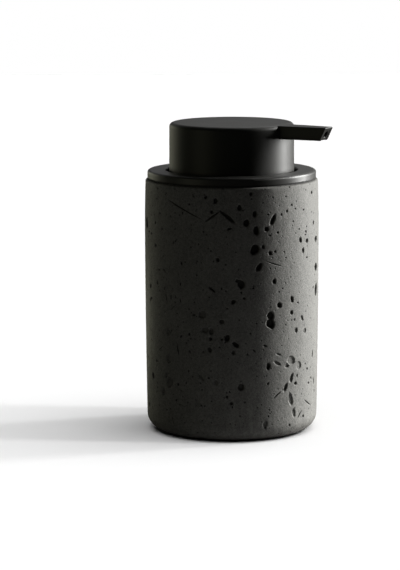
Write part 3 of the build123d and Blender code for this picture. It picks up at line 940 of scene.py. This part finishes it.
studio = {
    "floorSize": 12.0,
    "floorSeen": 0.9,
    "floorGloss": 0.02,
    "floorDim": 0.08,
    "floorLit": 0.95,
    "floorSide": 0.2,  # share of the lit grey under the object's axis
    "floorSlope": 6,  # by how much it grows in a metre towards the key panel
    "floorReach": 0.2,
    "floorFade": (0.3, 0.9),  # of floorReach, where the lit grey starts and ends fading
    "backdropAway": 2.2,
    "backdropSize": (5.0, 3.0),
    "backdropGloss": 0.24,
    "worldLight": 0.01,
    "cameraTurn": 30.0,  # degrees from looking along +Y
    "cameraAway": 1.2353,
    "cameraHeight": 0.256,
    "cameraDrop": 8.715,
    "cameraYaw": 0.682,
    "cameraRoll": -0.172,
    "lens": 170.74,
    "sensor": 36,
    "clipStart": 0.01,
    "clipEnd": 50,
    "lampTarget": (0, 0, 0.07),
    "sunAway": 2.0,
}

# turn from the camera's side towards its right and rise, in degrees, then distance, width, height, power,
# blue and which pieces it lights
panels = {
    "keyPanel": (110, 15, 0.9, 0.22, 0.6, 25, 0.98, "object"),
    "edgePanel": (134, 14, 0.9, 0.25, 0.6, 0.5, 0.98, "object"),
    "bouncePanel": (124, -10, 0.3, 0.08, 0.03, 0.2, 0.98, "vessel"),
    "footPanel": (84, -33, 0.12, 0.08, 0.01, 0.02, 0.98, "vessel"),
    "lowPanel": (-136, -16, 0.15, 0.06, 0.04, 0.013, 0.75, "vessel"),
    "topPanel": (150, 55, 1.0, 0.8, 0.8, 3.5, 1.0, "object"),
    "fillPanel": (-136, 2, 0.9, 0.6, 0.5, 1.15, 0.75, "object"),
    "softPanel": (-57, 2, 0.9, 0.4, 0.5, 0.34, 0.75, "object"),
    "pumpPanel": (-57, 2, 0.9, 0.4, 0.5, 0.22, 0.55, "pump"),
}

# turn, rise, strength and spread of the lamps that light the floor
suns = {
    "shadowSun": (108, 40, 0.7, 8),
    "rearSun": (84, 40, 0.7, 6),
    "sideSun": (100, 55, 1.0, 60),
    "skySun": (20, 80, 1.9, 80),
}


def floorMaterial():
    # white where the camera sees it; the light that it gives back to the object is a painted pool of light
    # in its colour, strongest near the object, on the key panel's side, and in reflections it is dark grey
    material, wire = newShader("paleFloor")
    turn = math.radians(studio["cameraTurn"])
    coords = objectCoords(wire)
    apart = wire.node("ShaderNodeSeparateXYZ", {}, {0: coords}, "X")
    forth = wire.node("ShaderNodeSeparateXYZ", {}, {0: coords}, "Y")
    across = apart * math.cos(turn) + forth * math.sin(turn)
    side = studio["floorSide"] + across * studio["floorSlope"]
    away = wire.node("ShaderNodeVectorMath", {"operation": "LENGTH"}, {0: coords}, "Value")
    fadeStart, fadeEnd = studio["floorFade"]
    near = ramp(wire, away * (1 / studio["floorReach"]), [(fadeStart, 1.0), (fadeEnd, 0.0)])
    lit = near * ramp(wire, side, [(0.0, 0.0), (1.0, 1.0)])
    bounce = blendColours(wire, lit, grey(studio["floorDim"]), grey(studio["floorLit"]))
    camera = wire.node("ShaderNodeLightPath", {}, {}, "Is Camera Ray")
    glossy = wire.node("ShaderNodeLightPath", {}, {}, "Is Glossy Ray")
    given = blendColours(wire, glossy, bounce, grey(studio["floorGloss"]))
    colour = blendColours(wire, camera, given, grey(studio["floorSeen"]))
    surface = wire.node("ShaderNodeBsdfDiffuse", {}, {"Color": colour})
    wire.node("ShaderNodeOutputMaterial", {}, {"Surface": surface})
    return material


def makeStage():
    deselectAll()
    bpy.ops.mesh.primitive_plane_add(size=studio["floorSize"])
    floor = bpy.context.object
    floor.name = "studioFloor"
    floor.data.materials.append(floorMaterial())
    turn = math.radians(studio["cameraTurn"])
    away = studio["backdropAway"]
    width, height = studio["backdropSize"]
    place = (-away * math.sin(turn), away * math.cos(turn), height / 2)
    bpy.ops.mesh.primitive_plane_add(size=1, location=place, rotation=(math.pi / 2, 0, turn))
    backdrop = bpy.context.object
    backdrop.name = "paleBackdrop"
    backdrop.scale = (width, height, 1)
    material, wire = newShader("paleBackdrop")
    camera = wire.node("ShaderNodeLightPath", {}, {}, "Is Camera Ray")
    glossy = wire.node("ShaderNodeLightPath", {}, {}, "Is Glossy Ray")
    strength = camera + glossy * studio["backdropGloss"]
    surface = wire.node("ShaderNodeEmission", {}, {"Color": grey(1.0), "Strength": strength})
    wire.node("ShaderNodeOutputMaterial", {}, {"Surface": surface})
    backdrop.data.materials.append(material)
    backdrop.visible_shadow = backdrop.visible_diffuse = False
    return floor


def makeWorld():
    world = bpy.data.worlds.new("studio")
    world.use_nodes = True
    bpy.context.scene.world = world
    world.node_tree.nodes.clear()
    wire = Wire(world.node_tree)
    camera = wire.node("ShaderNodeLightPath", {}, {}, "Is Camera Ray")
    strength = studio["worldLight"] + camera * (1 - studio["worldLight"])
    surface = wire.node("ShaderNodeBackground", {}, {"Color": grey(1.0), "Strength": strength})
    wire.node("ShaderNodeOutputWorld", {}, {"Surface": surface})


def addLamp(name, kind, turn, rise, away, target):
    # turn is measured from the camera's side, towards its right as seen from above
    light = bpy.data.lights.new(name, kind)
    lamp = bpy.data.objects.new(name, light)
    bpy.context.scene.collection.objects.link(lamp)
    angle = math.radians(studio["cameraTurn"] + turn)
    flat = away * math.cos(math.radians(rise))
    offset = Vector((flat * math.sin(angle), -flat * math.cos(angle), away * math.sin(math.radians(rise))))
    lamp.location = target + offset
    lamp.rotation_euler = (-offset).to_track_quat("-Z", "Y").to_euler()
    return lamp


def lightOnly(lamps, name, pieces):
    shown = bpy.data.collections.new(name)
    bpy.context.scene.collection.children.link(shown)
    for piece in pieces:
        shown.objects.link(piece)
    for lamp in lamps:
        lamp.light_linking.receiver_collection = shown


def makeLamps(floor):
    # the panels light the object alone, and the suns give the floor its shadow
    pieces = [thing for thing in bpy.context.scene.objects if thing.type == "MESH" and thing is not floor]
    vessel = bpy.data.objects["stoneVessel"]
    pump = [piece for piece in pieces if piece is not vessel]
    groups = {"object": pieces, "vessel": [vessel], "pump": pump}
    lamps = {group: [] for group in groups}
    for name, (turn, rise, away, width, height, power, blue, group) in panels.items():
        lamp = addLamp(name, "AREA", turn, rise, away, Vector(studio["lampTarget"]))
        lamp.data.shape = "RECTANGLE"
        lamp.data.size, lamp.data.size_y = width, height
        lamp.data.energy = power
        lamp.data.color = (1, 1, blue)
        lamp.visible_camera = False
        lamps[group].append(lamp)
    for group, members in groups.items():
        lightOnly(lamps[group], group + "Lit", members)
    floorLamps = []
    for name, (turn, rise, strength, spread) in suns.items():
        lamp = addLamp(name, "SUN", turn, rise, studio["sunAway"], Vector((0, 0, 0)))
        lamp.data.energy = strength
        lamp.data.angle = math.radians(spread)
        floorLamps.append(lamp)
    lightOnly(floorLamps, "floorLit", [floor])


def makeCamera():
    data = bpy.data.cameras.new("camera")
    data.lens = studio["lens"]
    data.sensor_width = studio["sensor"]
    data.clip_start = studio["clipStart"]
    data.clip_end = studio["clipEnd"]
    camera = bpy.data.objects.new("camera", data)
    bpy.context.scene.collection.objects.link(camera)
    turn = math.radians(studio["cameraTurn"])
    away = studio["cameraAway"]
    camera.location = (away * math.sin(turn), -away * math.cos(turn), studio["cameraHeight"])
    yaw, drop, roll = (math.radians(studio[key]) for key in ("cameraYaw", "cameraDrop", "cameraRoll"))
    aim = Matrix.Rotation(turn + yaw, 3, "Z") @ Matrix.Rotation(math.pi / 2 - drop, 3, "X")
    camera.rotation_euler = (aim @ Matrix.Rotation(roll, 3, "Z")).to_euler()
    bpy.context.scene.camera = camera


floor = makeStage()
makeWorld()
makeLamps(floor)
makeCamera()
bpy.context.scene.view_settings.view_transform = "Standard"
print("studio ready")
